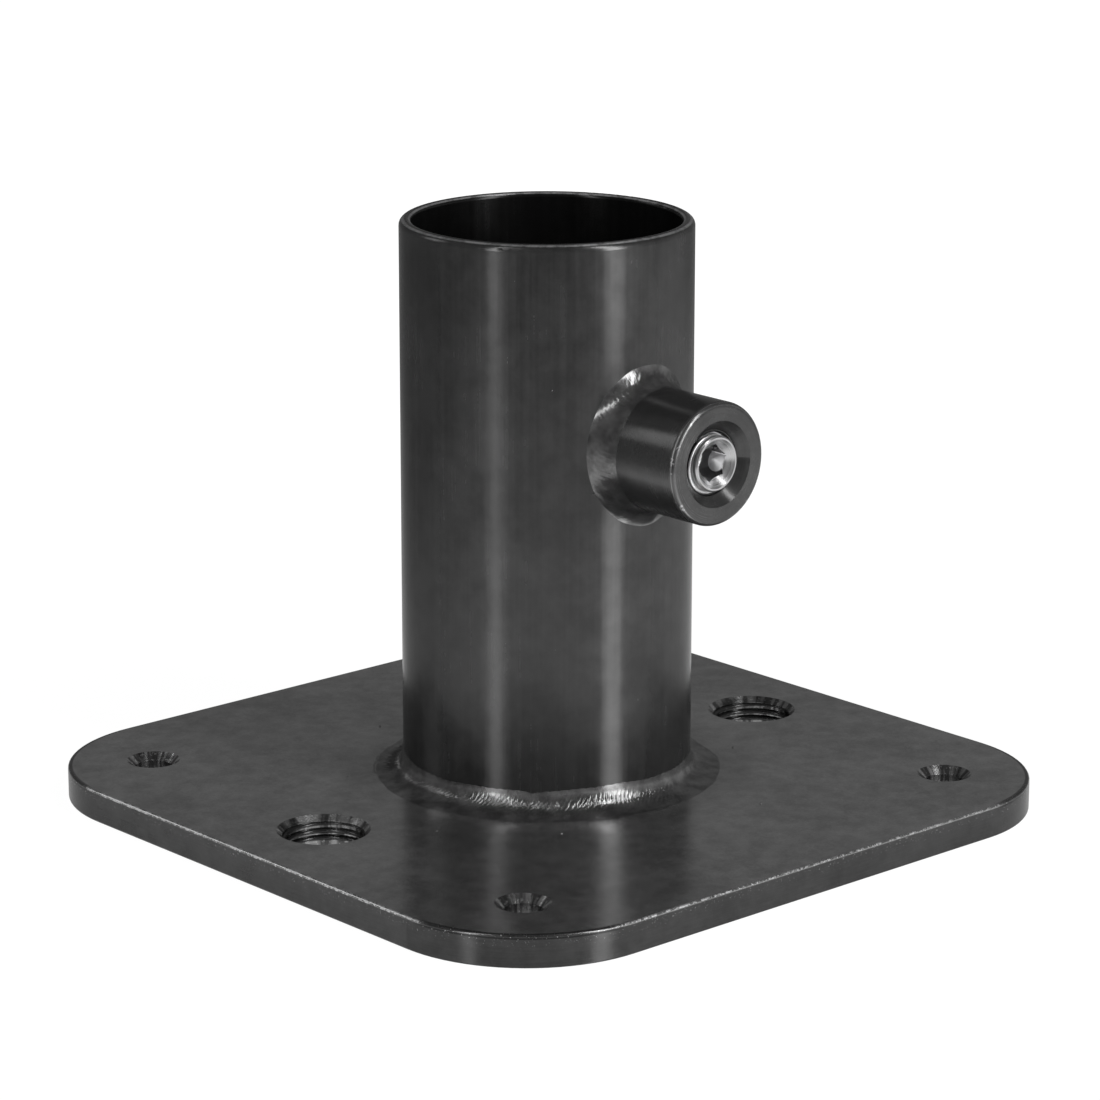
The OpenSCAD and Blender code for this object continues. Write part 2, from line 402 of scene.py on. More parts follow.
def bossFinish():
    # Turned steel: the cutter's rings run round the boss's own axis
    look = bossLook
    material, sheet, shader, inMm = newFinish("boss steel")
    x, y, z = sheet.split(inMm)
    radius = sheet.radius(x, sheet.minus(z, bossHeight / mm))
    turned = sheet.point(
        sheet.times(radius, look["ringScale"]), sheet.times(y, look["ringScale"]), sheet.times(z, 0.05))
    rings = sheet.noise(turned, 1.0, 4.0, 0.6)
    # Bright spots where the outer edge has been knocked
    lip = sheet.plus(sheet.minus(bossRadius / mm, radius), sheet.plus(y, bossEnd / mm))
    knocks = sheet.times(sheet.ramp(lip, *look["knockReach"], 1.0, 0.0),
                         speckle(sheet, inMm, look["knockSize"], look["knockShare"]), look["knockWear"])
    hairline = sheet.times(sheet.peak(lip, look["hairlineAt"], look["hairlineWidth"]), look["hairlineWear"])
    worn = sheet.math("MAXIMUM", knocks, hairline, clamp=True)
    satinSteel(sheet, shader, inMm, worn, look, grain=rings)
    shader.inputs["Anisotropic"].default_value = look["anisotropy"]
    shader.inputs["Anisotropic Rotation"].default_value = look["grainTurn"]
    tangent = sheet.node("ShaderNodeTangent", direction_type="RADIAL", axis="Y")
    sheet.feed(shader.inputs["Tangent"], tangent.outputs[0])
    return material


weldLook = {
    "level": 0.17,
    "metal": 0.8,
    "rough": 0.2,
    "stain": (0.72, 1.2),
    "fleckSize": 0.5,
    "fleckWear": 0.2,
}


def weldFinish():
    look = weldLook
    material, sheet, shader, inMm = newFinish("weld bead")
    worn = sheet.times(speckle(sheet, inMm, look["fleckSize"], 0.0), look["fleckWear"])
    stain = sheet.ramp(sheet.noise(inMm, 0.35, 3.0, 0.6), 0.35, 0.65, *look["stain"])
    satinSteel(sheet, shader, inMm, worn, look, dim=stain)
    return material


threadLook = {
    "level": 0.06,
    "metal": 0.8,
    "rough": 0.25,
    "fleckSize": 0.5,
    "fleckShare": 0.02,
    "fleckWear": 0.15,
}


def threadFinish():
    look = threadLook
    material, sheet, shader, inMm = newFinish("cut thread")
    worn = sheet.times(speckle(sheet, inMm, look["fleckSize"], look["fleckShare"]), look["fleckWear"])
    satinSteel(sheet, shader, inMm, worn, look)
    return material


finishes = {
    "plate": plateFinish(),
    "tube": tubeFinish(),
    "boss": bossFinish(),
    "weld": weldFinish(),
    "thread": threadFinish(),
}
print("finishes made:", ", ".join(finishes))


def dress(node, finish):
    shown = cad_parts[node]
    shown.data.materials.clear()
    shown.data.materials.append(finish)


dress("base_plate", finishes["plate"])
dress("receiver_tube", finishes["tube"])
dress("clamp_boss", finishes["boss"])


# Geometry node trees and what runs them
def newTree(name, inputs):
    tree = bpy.data.node_groups.new(name, "GeometryNodeTree")
    tree.interface.new_socket("Geometry", in_out="INPUT", socket_type="NodeSocketGeometry")
    for title, kind in inputs:
        tree.interface.new_socket(title, in_out="INPUT", socket_type="NodeSocket" + kind)
    tree.interface.new_socket("Geometry", in_out="OUTPUT", socket_type="NodeSocketGeometry")
    sheet = Sheet(tree)
    return tree, sheet, sheet.node("NodeGroupInput").outputs, sheet.node("NodeGroupOutput").inputs


def endTree(sheet, geometry, given, result):
    real = sheet.node("GeometryNodeRealizeInstances", {"Geometry": geometry})
    finished = sheet.node("GeometryNodeSetMaterial", {
        "Geometry": real.outputs[0], "Material": given["Finish"]})
    sheet.feed(result[0], finished.outputs[0])


def setInputs(modifier, values):
    # A modifier's input is set by its socket's identifier
    for item in modifier.node_group.interface.items_tree:
        if item.in_out == "INPUT" and item.name in values:
            modifier[item.identifier] = values[item.name]


def grown(name, mesh, tree, values, body):
    # Runs the tree on a mesh, keeps the result as a plain mesh and lets it ride on its body
    seed = bpy.data.objects.new(name + "_seed", mesh)
    bpy.context.scene.collection.objects.link(seed)
    modifier = seed.modifiers.new("grow", "NODES")
    modifier.node_group = tree
    setInputs(modifier, values)
    bpy.context.view_layer.update()
    evaluated = seed.evaluated_get(bpy.context.evaluated_depsgraph_get())
    plain = bpy.data.meshes.new_from_object(evaluated)
    piece = bpy.data.objects.new(name, plain)
    bpy.context.scene.collection.objects.link(piece)
    bpy.data.objects.remove(seed)
    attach(piece, body)
    print(name, "made:", len(plain.polygons), "faces")
    return piece


def threadTree():
    # A ridge of trapezoid section on a helix. A negative depth points it at the axis
    tree, sheet, given, result = newTree("thread ridge", [
        ("Radius", "Float"), ("Pitch", "Float"), ("Turns", "Float"), ("Depth", "Float"),
        ("Root Width", "Float"), ("Crest Width", "Float"), ("Steps", "Int"), ("Run Out", "Float"),
        ("Turn", "Vector"), ("Place", "Vector"), ("Finish", "Material")])
    helix = sheet.node("GeometryNodeCurveSpiral", {
        "Resolution": given["Steps"], "Rotations": given["Turns"], "Start Radius": given["Radius"],
        "End Radius": given["Radius"], "Height": sheet.times(given["Pitch"], given["Turns"])})
    upright = sheet.node("GeometryNodeSetCurveNormal", {"Curve": helix.outputs[0]}, mode="Z_UP")
    side = sheet.times(sheet.math("SIGN", given["Depth"]), 0.5)
    halfRoot = sheet.times(given["Root Width"], side)
    halfCrest = sheet.times(given["Crest Width"], side)
    out = sheet.times(given["Depth"], -1.0)
    section = sheet.node("GeometryNodeCurvePrimitiveQuadrilateral", mode="POINTS")
    corners = [(0.0, halfRoot, -1.0), (0.0, halfRoot, 1.0), (out, halfCrest, 1.0), (out, halfCrest, -1.0)]
    for number, (depth, half, way) in enumerate(corners, 1):
        sheet.feed(section.inputs["Point " + str(number)], sheet.point(depth, sheet.times(half, way)))
    # both ends run out, but never quite to nothing
    share = sheet.node("GeometryNodeSplineParameter").outputs["Factor"]
    along = sheet.times(share, given["Turns"])
    fromEnd = sheet.math("MINIMUM", along, sheet.minus(given["Turns"], along))
    taper = sheet.math("MAXIMUM", sheet.math("DIVIDE", fromEnd, given["Run Out"]), 0.03)
    swept = sheet.node("GeometryNodeCurveToMesh", {
        "Curve": upright.outputs[0], "Profile Curve": section.outputs[0],
        "Scale": sheet.math("MINIMUM", taper, 1.0), "Fill Caps": True})
    turned = sheet.node("FunctionNodeEulerToRotation", {"Euler": given["Turn"]})
    placed = sheet.node("GeometryNodeTransform", {
        "Geometry": swept.outputs[0], "Rotation": turned.outputs[0], "Translation": given["Place"]})
    both = sheet.node("GeometryNodeJoinGeometry")
    sheet.feed(both.inputs[0], given["Geometry"])
    sheet.feed(both.inputs[0], placed.outputs[0])
    endTree(sheet, both.outputs[0], given, result)
    return tree


# Scales are per metre here, and the ripples start and end at shares of the way across the bead
rippleLook = {
    "tailStart": 0.08,
    "sharpness": 2.5,
    "fineSharpness": 2.0,
    "wanderScale": 150.0,
    "lumpScale": 260.0,
    "lumps": 0.2,
    "patches": (0.38, 0.6),
    "faint": 0.45,
    "firstToe": (0.09, 0.27),
    "lastToe": (1.0, 0.7),
}


def rippleTree():
    # Raises ripples on a bead: crescents that follow each other round it, strong here and faint there
    look = rippleLook
    tree, sheet, given, result = newTree("weld ripples", [
        ("Ripples", "Float"), ("Height", "Float"), ("Fine Share", "Float"), ("Crescent", "Float"),
        ("Tail", "Float"), ("Wander", "Float"), ("Patch Size", "Float"), ("Seed", "Float"),
        ("Finish", "Material")])
    along, across = (sheet.node("GeometryNodeInputNamedAttribute", {"Name": name}).outputs["Attribute"]
                     for name in ("along", "across"))
    place = sheet.vector("ADD", sheet.node("GeometryNodeInputPosition").outputs[0], given["Seed"])
    fromMiddle = sheet.minus(sheet.times(across, 2.0), 1.0)
    bow = sheet.minus(1.0, sheet.times(fromMiddle, fromMiddle))
    low = sheet.times(sheet.math("MAXIMUM", sheet.minus(across, look["tailStart"]), 0.0), given["Tail"])
    lag = sheet.minus(sheet.times(bow, given["Crescent"]), low)
    wander = sheet.times(sheet.noise(place, look["wanderScale"], 3.0, 0.6), given["Wander"])
    phase = sheet.plus(sheet.minus(sheet.times(along, given["Ripples"]), lag), wander)
    rise = sheet.math("POWER", sheet.math("FRACT", phase), look["sharpness"])
    fine = sheet.math("POWER", sheet.math("FRACT", sheet.times(phase, 2.0)), look["fineSharpness"])
    lumps = sheet.spread(sheet.noise(place, look["lumpScale"], 2.0), -look["lumps"], look["lumps"])
    patchScale = sheet.math("DIVIDE", 1.0, given["Patch Size"])
    patch = sheet.ramp(sheet.noise(place, patchScale, 2.0), *look["patches"], look["faint"], 1.0)
    toes = sheet.times(sheet.ramp(across, *look["firstToe"]), sheet.ramp(across, *look["lastToe"]))
    height = sheet.times(sheet.times(sheet.plus(rise, sheet.times(fine, given["Fine Share"]), lumps),
                                     given["Height"]), sheet.times(patch, toes))
    lift = sheet.vector("SCALE", sheet.node("GeometryNodeInputNormal").outputs[0], scale=height)
    moved = sheet.node("GeometryNodeSetPosition", {"Geometry": given["Geometry"], "Offset": lift})
    smooth = sheet.node("GeometryNodeSetShadeSmooth", {"Geometry": moved.outputs[0], "Shade Smooth": True})
    endTree(sheet, smooth.outputs[0], given, result)
    return tree


def spatterTree():
    # Sets a small drop of its own size on each point of a mesh
    tree, sheet, given, result = newTree("weld spatter", [
        ("Smallest", "Float"), ("Largest", "Float"), ("Seed", "Int"), ("Finish", "Material")])
    ball = sheet.node("GeometryNodeMeshUVSphere", {"Segments": 10, "Rings": 6, "Radius": 1.0})
    drop = sheet.node("GeometryNodeSetShadeSmooth", {"Geometry": ball.outputs[0], "Shade Smooth": True})
    points = sheet.node("GeometryNodeMeshToPoints", {"Mesh": given["Geometry"]})
    size = sheet.node("FunctionNodeRandomValue", {
        2: given["Smallest"], 3: given["Largest"], 8: given["Seed"]}, data_type="FLOAT")
    drops = sheet.node("GeometryNodeInstanceOnPoints", {
        "Points": points.outputs[0], "Instance": drop.outputs[0], "Scale": size.outputs[1]})
    endTree(sheet, drops.outputs[0], given, result)
    return tree


threadRidge = threadTree()
weldRipples = rippleTree()
weldSpatter = spatterTree()
print("trees made")


def ringMesh(name, rings, acrossOf):
    # Closes a ring of sections, each a loop of points, into one tube of quads
    size = len(rings[0])
    faces = []
    for here in range(len(rings)):
        after = (here + 1) % len(rings)
        for step in range(size):
            up = (step + 1) % size
            faces.append((here * size + step, here * size + up, after * size + up, after * size + step))
    mesh = bpy.data.meshes.new(name)
    mesh.from_pydata([point for ring in rings for point in ring], [], faces)
    along = mesh.attributes.new("along", "FLOAT", "POINT")
    across = mesh.attributes.new("across", "FLOAT", "POINT")
    along.data.foreach_set("value", [here / len(rings) for here in range(len(rings)) for step in range(size)])
    across.data.foreach_set("value", acrossOf * len(rings))
    return mesh


def hollowFace(firstToe, lastToe, corner, look, steeper=0.0):
    # Points down a hollow bead's face, tucked into the metal at both toes, with their shares of the way
    firstPull = (firstToe - corner) * (look["firstFlare"] + steeper)
    pull = corner + firstPull + (lastToe - corner) * look["lastFlare"]
    reach = 1 + 2 * look["tuck"]
    shares = [step / look["steps"] * reach - look["tuck"] for step in range(look["steps"] + 1)]
    face = []
    for share in shares:
        first, last = (1 - share) ** 2, share ** 2
        middle = 2 * share * (1 - share) * look["tightness"]
        face.append((firstToe * first + pull * middle + lastToe * last) / (first + middle + last))
    return face, shares


def unevenAt(turn, look):
    return sum(size * math.sin(count * turn + start) for size, count, start in look["uneven"])


def rippledBead(name, rings, shares, look):
    # each section ends in a root inside the metal, which has no ripples
    mesh = ringMesh(name, rings, shares + [-1.0])
    return grown(name, mesh, weldRipples, {
        "Ripples": look["ripples"], "Height": look["height"], "Fine Share": look["fineShare"],
        "Crescent": look["crescent"], "Tail": look["tail"], "Wander": look["wander"],
        "Patch Size": look["patchSize"], "Seed": look["seed"], "Finish": finishes["weld"]},
        "flange")


# Weld round the tube's foot
footWeldLook = {
    "stations": 2600,
    "steps": 28,
    "spread": 1.3 * mm,
    "firstFlare": 0.06,
    "lastFlare": 0.07,
    "tightness": 1.6,
    "tuck": 0.05,
    "root": 0.8 * mm,
    "uneven": [(0.05, 3, 1.0), (0.03, 7, 2.0), (0.015, 17, 0.0)],
    "ripples": 185.0,
    "height": 0.12 * mm,
    "fineShare": 0.5,
    "crescent": 0.8,
    "tail": 6.0,
    "wander": 4.5,
    "patchSize": 12 * mm,
    "seed": 3.1,
    "stopTurn": math.radians(-137.5),
    "stopWidth": math.radians(3.0),
    "stopDip": 0.3,
    "dipUp": 0.3,
    "dipOut": 0.2,
}


def footWeld():
    look = footWeldLook
    up = Vector((0, 0, 1))
    rings = []
    for station in range(look["stations"]):
        turn = 2 * math.pi * station / look["stations"]
        out = Vector((math.cos(turn), math.sin(turn), 0))
        uneven = unevenAt(turn, look)
        # where the run stopped the bead sinks a little and starts again
        fromStop = (turn - look["stopTurn"] + math.pi) % (2 * math.pi) - math.pi
        dip = look["stopDip"] * math.exp(-(fromStop / look["stopWidth"]) ** 2)
        corner = out * tubeRadius + up * plateTop
        upper = corner + up * (footWeldLeg * (1 + uneven - look["dipUp"] * dip))
        lower = corner + out * (footWeldLeg * (1 - uneven - look["dipOut"] * dip) + look["spread"])
        face, shares = hollowFace(upper, lower, corner, look)
        root = out * (tubeRadius - look["root"]) + up * (plateTop - look["root"])
        rings.append(face + [root])
    piece = rippledBead("foot_weld", rings, shares, look)
    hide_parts("base_weld")


footWeld()


# Weld on the saddle where the boss meets the tube
bossWeldLook = {
    "stations": 1100,
    "steps": 20,
    "sideLeg": 0.9 * mm,
    "legShare": 0.9,
    "firstFlare": 0.13,
    "sideSteeper": 0.4,
    "lastFlare": 0.25,
    "tightness": 1.0,
    "tuck": 0.06,
    "root": 1.2 * mm,
    "uneven": [(0.05, 3, 0.4), (0.03, 5, 1.2), (0.015, 13, 0.0)],
    "ripples": 70.0,
    "height": 0.05 * mm,
    "fineShare": 0.35,
    "crescent": 0.8,
    "tail": 2.4,
    "wander": 2.0,
    "patchSize": 9 * mm,
    "seed": 7.7,
}


def onTube(turn, out):
    # Place on the tube's wall, beyond the boss's own outline
    x = (bossRadius + out) * math.cos(turn)
    z = bossHeight + (bossRadius + out) * math.sin(turn)
    return Vector((x, -math.sqrt(tubeRadius ** 2 - x * x), z))


def bossWeld():
    look = bossWeldLook
    reach = -bossWeldLow.y - tubeRadius
    leg = (bossWeldHigh.z - bossHeight - bossRadius) * look["legShare"]
    rings = []
    for station in range(look["stations"]):
        turn = 2 * math.pi * station / look["stations"]
        uneven = unevenAt(turn, look)
        wide = look["sideLeg"] + (leg - look["sideLeg"]) * math.sin(turn) ** 2
        corner = onTube(turn, 0)
        bossToe = Vector((corner.x, -tubeRadius - reach * (1 + 0.5 * uneven), corner.z))
        tubeToe = onTube(turn, wide * (1 - uneven))
        steeper = look["sideSteeper"] * math.cos(turn) ** 4
        face, shares = hollowFace(bossToe, tubeToe, corner, look, steeper)
        root = onTube(turn, -look["root"]) + Vector((0, look["root"], 0))
        rings.append(face + [root])
    piece = rippledBead("boss_bead", rings, shares, look)
    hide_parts("boss_weld")


bossWeld()


# Drops of spatter beside the two welds. On the plate a place is a turn in degrees and a radius, and on the
# tube a turn from the boss and a rise
spatterLook = {
    "smallest": 0.12 * mm,
    "largest": 0.3 * mm,
    "seed": 5,
    "onPlate": [(-71, 47.5), (-128, 41.0), (-24, 39.5), (-160, 44.5),
                (17, 42.0), (62, 38.5), (101, 43.0), (148, 40.0)],
    "onTube": [(-25.5, 1.5), (-24.0, -8.0), (-40.0, 12.5), (21.0, 16.5), (27.5, -4.0)],
}


def weldSpatterDrops():
    look = spatterLook
    places = [polar(turn, radius * mm, plateTop) for turn, radius in look["onPlate"]]
    places += [polar(turn - 90, tubeRadius, bossHeight + rise * mm) for turn, rise in look["onTube"]]
    mesh = bpy.data.meshes.new("spatter")
    mesh.from_pydata(places, [], [])
    grown("spatter", mesh, weldSpatter, {
        "Smallest": look["smallest"], "Largest": look["largest"], "Seed": look["seed"],
        "Finish": finishes["weld"]}, "flange")


weldSpatterDrops()


# Threads in the plate's two tapped holes
plateThreadLook = {
    "wallRadius": 7.95 * mm,
    "middle": 57.15 * mm,
    "pitch": 1.411 * mm,
    "depth": 0.76 * mm,
    "rootWidth": 1.2 * mm,
    "crestWidth": 0.32 * mm,
    "low": 0.6 * mm,
    "startTurn": math.radians(40),
    "turns": 3.3,
    "steps": 96,
    "runOut": 0.5,
}


def plateThreads():
    look = plateThreadLook
    for side, name in ((-1, "left_thread"), (1, "right_thread")):
        grown(name, bpy.data.meshes.new(name), threadRidge, {
            "Radius": look["wallRadius"], "Pitch": look["pitch"], "Turns": look["turns"],
            "Depth": -look["depth"], "Root Width": look["rootWidth"], "Crest Width": look["crestWidth"],
            "Steps": look["steps"], "Run Out": look["runOut"], "Turn": (0.0, 0.0, look["startTurn"]),
            "Place": (side * look["middle"], 0.0, look["low"]), "Finish": finishes["thread"]},
            "flange")


plateThreads()


# Set screw with its thread, and the thread that it runs in
screwLook = {
    "coreRadius": 5.35 * mm,
    "crestRadius": 6.33 * mm,
    "pitch": 25.4 / 13 * mm,
    "rootWidth": 1.375 * mm,
    "crestWidth": 0.244 * mm,
    "faceRadius": 5.05 * mm,
    "threadStart": 0.95 * mm,
    "threadEnd": 0.8 * mm,
    "pointBevel": 1.4 * mm,
    "cupRadius": 3.2 * mm,
    "cupDepth": 1.6 * mm,
    "socketWidth": 6.35 * mm,
    "socketDepth": 6.4 * mm,
    "socketBevel": 1.1 * mm,
    "socketTurn": 17,
    "drillRadius": 2.3 * mm,
    "drillDepth": 1.3 * mm,
    "sides": 144,
    "steps": 96,
    "runOut": 0.5,
    "wallRadius": 6.4 * mm,
    "wallDepth": 0.92 * mm,
    "wallRootWidth": 1.6 * mm,
    "wallCrestWidth": 0.538 * mm,
    "wallInner": 26.9 * mm,
    "wallOuter": 46.1 * mm,
    "plated": (0.42, 0.66),
    "platedRough": (0.26, 0.36),
    "socketShadeLevel": 0.34,
    "socketRough": 0.07,
    "drilledHighlightLevel": 0.95,
    "drilledRough": 0.5,
    "metal": 0.9,
    "ringScale": 3.0,
    "bump": 0.004,
}
screwLength = screwFace - screwTip
socketCorner = screwLook["socketWidth"] / 2 / math.cos(math.radians(30))
socketMouth = socketCorner + screwLook["socketBevel"]


def screwFinish():
    look = screwLook
    material, sheet, shader, inMm = newFinish("plated screw")
    x, y, z = sheet.split(inMm)
    radius = sheet.radius(x, sheet.minus(z, bossHeight / mm))
    behind = sheet.plus(y, screwFace / mm)
    turned = sheet.point(sheet.times(radius, look["ringScale"]), sheet.times(y, look["ringScale"]))
    rings = sheet.noise(turned, 1.0, 3.0, 0.6)
    # Painted shade deep in the socket, whose walls are darker than the plating
    corner, mouth = socketCorner / mm, socketMouth / mm
    socketShade = sheet.times(sheet.ramp(radius, corner + 0.04, corner + 0.24, 1.0, 0.0),
                           sheet.ramp(sheet.plus(radius, behind), mouth + 0.04, mouth + 0.14))
    # a painted highlight on the drilled end of the socket, which is matt and bright, and its flat walls are
    # polished
    end, drill = look["socketDepth"] / mm, look["drillRadius"] / mm
    drilled = sheet.times(sheet.ramp(behind, end + 0.02, end + 0.08),
                          sheet.ramp(radius, drill + 0.05, drill + 0.15, 1.0, 0.0))
    plated = sheet.mixColour(rings, *(grey(level) for level in look["plated"]))
    walls = sheet.mixColour(drilled, grey(look["socketShadeLevel"]), grey(look["drilledHighlightLevel"]))
    sheet.feed(shader.inputs["Base Color"], sheet.mixColour(socketShade, plated, walls))
    shader.inputs["Metallic"].default_value = look["metal"]
    roughness = sheet.mixValue(socketShade, sheet.spread(rings, *look["platedRough"]),
                               sheet.mixValue(drilled, look["socketRough"], look["drilledRough"]))
    sheet.feed(shader.inputs["Roughness"], roughness)
    bump = sheet.node("ShaderNodeBump", {"Height": rings, "Strength": 0.5, "Distance": look["bump"] * mm})
    sheet.feed(shader.inputs["Normal"], bump.outputs[0])
    return material


def screwMesh():
    # Turned body with a hexagon socket at its outer face and a cup at its point
    look = screwLook
    core = look["coreRadius"]
    grid = []
    for side in range(look["sides"]):
        turn = 2 * math.pi * side / look["sides"]
        fromFlat = (math.degrees(turn) - look["socketTurn"]) % 60 - 30
        hexagon = look["socketWidth"] / 2 / math.cos(math.radians(fromFlat))
        # each entry is a radius and the depth behind the outer face
        profile = [
            (look["drillRadius"], look["socketDepth"]), (hexagon, look["socketDepth"]),
            (hexagon, socketMouth - hexagon), (socketMouth, 0), (look["faceRadius"], 0),
            (core, core - look["faceRadius"]), (core, screwLength - look["pointBevel"]),
            (core - look["pointBevel"], screwLength), (look["cupRadius"], screwLength)]
        grid.append([
            Vector((radius * math.cos(turn), depth - screwFace, bossHeight + radius * math.sin(turn)))
            for radius, depth in profile])
    steps = len(grid[0])
    points = [point for column in grid for point in column]
    drillEnd, cupEnd = len(points), len(points) + 1
    points.append(Vector((0, look["socketDepth"] + look["drillDepth"] - screwFace, bossHeight)))
    points.append(Vector((0, screwLength - look["cupDepth"] - screwFace, bossHeight)))
    faces = []
    for side in range(look["sides"]):
        here, after = side * steps, (side + 1) % look["sides"] * steps
        faces += [(here + step, after + step, after + step + 1, here + step + 1) for step in range(steps - 1)]
        faces.append((drillEnd, after, here))
        faces.append((cupEnd, here + steps - 1, after + steps - 1))
    mesh = bpy.data.meshes.new("clamp_screw_body")
    mesh.from_pydata(points, [], faces)
    shell = bmesh.new()
    shell.from_mesh(mesh)
    bmesh.ops.remove_doubles(shell, verts=shell.verts, dist=0.002 * mm)
    bmesh.ops.recalc_face_normals(shell, faces=shell.faces)
    shell.to_mesh(mesh)
    shell.free()
    return mesh


def screwThreads():
    look = screwLook
    outwards = (math.radians(90), 0.0, 0.0)  # the helix climbs from the point towards the outer face
    turns = (screwLength - look["threadEnd"] - look["threadStart"]) / look["pitch"]
    screw = grown("clamp_screw_threaded", screwMesh(), threadRidge, {
        "Radius": look["coreRadius"], "Pitch": look["pitch"], "Turns": turns,
        "Depth": look["crestRadius"] - look["coreRadius"], "Root Width": look["rootWidth"],
        "Crest Width": look["crestWidth"], "Steps": look["steps"], "Run Out": look["runOut"],
        "Turn": outwards, "Place": (0.0, -screwTip - look["threadEnd"], bossHeight),
        "Finish": screwFinish()}, "clamp_screw")
    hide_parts("set_screw")
    # the hole's ridge runs half a pitch away from the screw's
    whole = math.floor((look["wallInner"] - screwTip) / look["pitch"])
    inner = screwTip + look["threadEnd"] + (whole + 0.5) * look["pitch"]
    if inner < look["wallInner"]:
        inner += look["pitch"]
    grown("boss_thread", bpy.data.meshes.new("boss_thread"), threadRidge, {
        "Radius": look["wallRadius"], "Pitch": look["pitch"],
        "Turns": (look["wallOuter"] - inner) / look["pitch"],
        "Depth": -look["wallDepth"], "Root Width": look["wallRootWidth"],
        "Crest Width": look["wallCrestWidth"], "Steps": look["steps"], "Run Out": look["runOut"],
        "Turn": outwards, "Place": (0.0, -inner, bossHeight), "Finish": finishes["thread"]},
        "flange")


screwThreads()


# Floor, whose distances are in millimetres. The camera sees it white with a trace of the object's shadow,
# and polished steel sees a pool of light round the object that ends towards the camera
floorLook = {
    "size": 8000.0,
    "colour": 0.98,
    "white": 1.08,
    "shine": (0.3, 0.09),
    "shineReach": (100.0, 420.0),
    "shineRough": 0.13,
    "shadowShare": 0.1,
    "shadowReach": (140.0, 340.0),
    "underInset": (3.0, 2.0),
    "poolMiddle": (100.0, -150.0, 0.0),
    "poolReach": (230.0, 600.0),
    "pool": (0.98, 0.4),
    "frontTurn": -132.0,
    "poolFrontReach": (335.0, 430.0),
    "poolFrontLevel": 0.06,
    "shadeWay": (0.17, 0.985, 0.0),
    "shadeReach": (-50.0, 250.0),
    "shadeDim": 0.55,
    "edgeReach": 26.0,
    "edgeShade": 0.6,
}


def flatWay(degrees):
    return polar(degrees, 1.0, 0.0)


def floorGlow(sheet, where):
    # Painted light and shade on the floor, which only polished steel sees: a pool round the object
    look = floorLook
    fromPool = sheet.vector("LENGTH", sheet.vector("SUBTRACT", where, look["poolMiddle"]))
    pool = sheet.ramp(fromPool, *look["poolReach"], *look["pool"])
    ahead = sheet.vector("DOT_PRODUCT", where, flatWay(look["frontTurn"]))
    # the painted pool fades out towards the camera
    poolFront = sheet.ramp(ahead, *look["poolFrontReach"], 1.0, look["poolFrontLevel"])
    behind = sheet.vector("DOT_PRODUCT", where, look["shadeWay"])
    shade = sheet.ramp(behind, *look["shadeReach"], 1.0, look["shadeDim"])
    # a painted shadow of the plate beside its edges
    x, y, z = sheet.split(sheet.vector("ABSOLUTE", where))
    half = plateHalf / mm
    beside = sheet.ramp(sheet.math("MAXIMUM", x, y), half, half + look["edgeReach"], look["edgeShade"], 1.0)
    return sheet.times(sheet.times(pool, poolFront), sheet.times(shade, beside))


def plainShare(sheet, where, distance):
    # The camera sees some of the plain floor near the object, and only plain floor through the plate's holes
    look = floorLook
    near = sheet.ramp(distance, *look["shadowReach"], look["shadowShare"], 0.0)
    radius = plateLook["cornerRadius"]
    inner = plateHalf / mm - radius
    past = sheet.vector("SUBTRACT", sheet.vector("ABSOLUTE", where), (inner, inner, 1000.0))
    past = sheet.vector("LENGTH", sheet.vector("MAXIMUM", past, (0.0, 0.0, 0.0)))
    under = sheet.ramp(past, *(radius - inset for inset in look["underInset"]), 1.0, 0.0)
    return sheet.math("MAXIMUM", near, under)


def layFloor():
    look = floorLook
    half = look["size"] / 2 * mm
    mesh = bpy.data.meshes.new("floor")
    mesh.from_pydata([(-half, -half, 0), (half, -half, 0), (half, half, 0), (-half, half, 0)],
                     [], [(0, 1, 2, 3)])
    floor = bpy.data.objects.new("floor", mesh)
    bpy.context.scene.collection.objects.link(floor)
    material = bpy.data.materials.new("floor white")
    material.use_nodes = True
    sheet = Sheet(material.node_tree)
    material.node_tree.nodes.remove(material.node_tree.nodes["Principled BSDF"])
    paths = sheet.node("ShaderNodeLightPath").outputs
    where = sheet.vector("SCALE", sheet.node("ShaderNodeTexCoord").outputs["Object"], scale=1 / mm)
    distance = sheet.vector("LENGTH", where)
    mirrored = sheet.math("MAXIMUM", paths["Is Glossy Ray"], paths["Is Transmission Ray"])
    seen = sheet.math("MAXIMUM", paths["Is Camera Ray"], mirrored)
    lit = sheet.node("ShaderNodeBsdfDiffuse", {"Color": grey(look["colour"])})
    strength = sheet.mixValue(mirrored, look["white"], floorGlow(sheet, where))
    glow = sheet.node("ShaderNodeEmission", {"Strength": strength})
    # a polished floor, in which steel sees the strips' reflections too
    polish = sheet.times(mirrored, sheet.ramp(distance, *look["shineReach"], *look["shine"]))
    shine = sheet.node("ShaderNodeBsdfAnisotropic", {
        "Color": sheet.greyOf(polish), "Roughness": look["shineRough"]})
    bright = sheet.node("ShaderNodeAddShader", {0: glow.outputs[0], 1: shine.outputs[0]})
    plain = sheet.times(plainShare(sheet, where, distance), paths["Is Camera Ray"])
    both = sheet.node("ShaderNodeMixShader", {
        0: sheet.minus(seen, plain), 1: lit.outputs[0], 2: bright.outputs[0]})
    sheet.feed(material.node_tree.nodes["Material Output"].inputs["Surface"], both.outputs[0])
    mesh.materials.append(material)


layFloor()


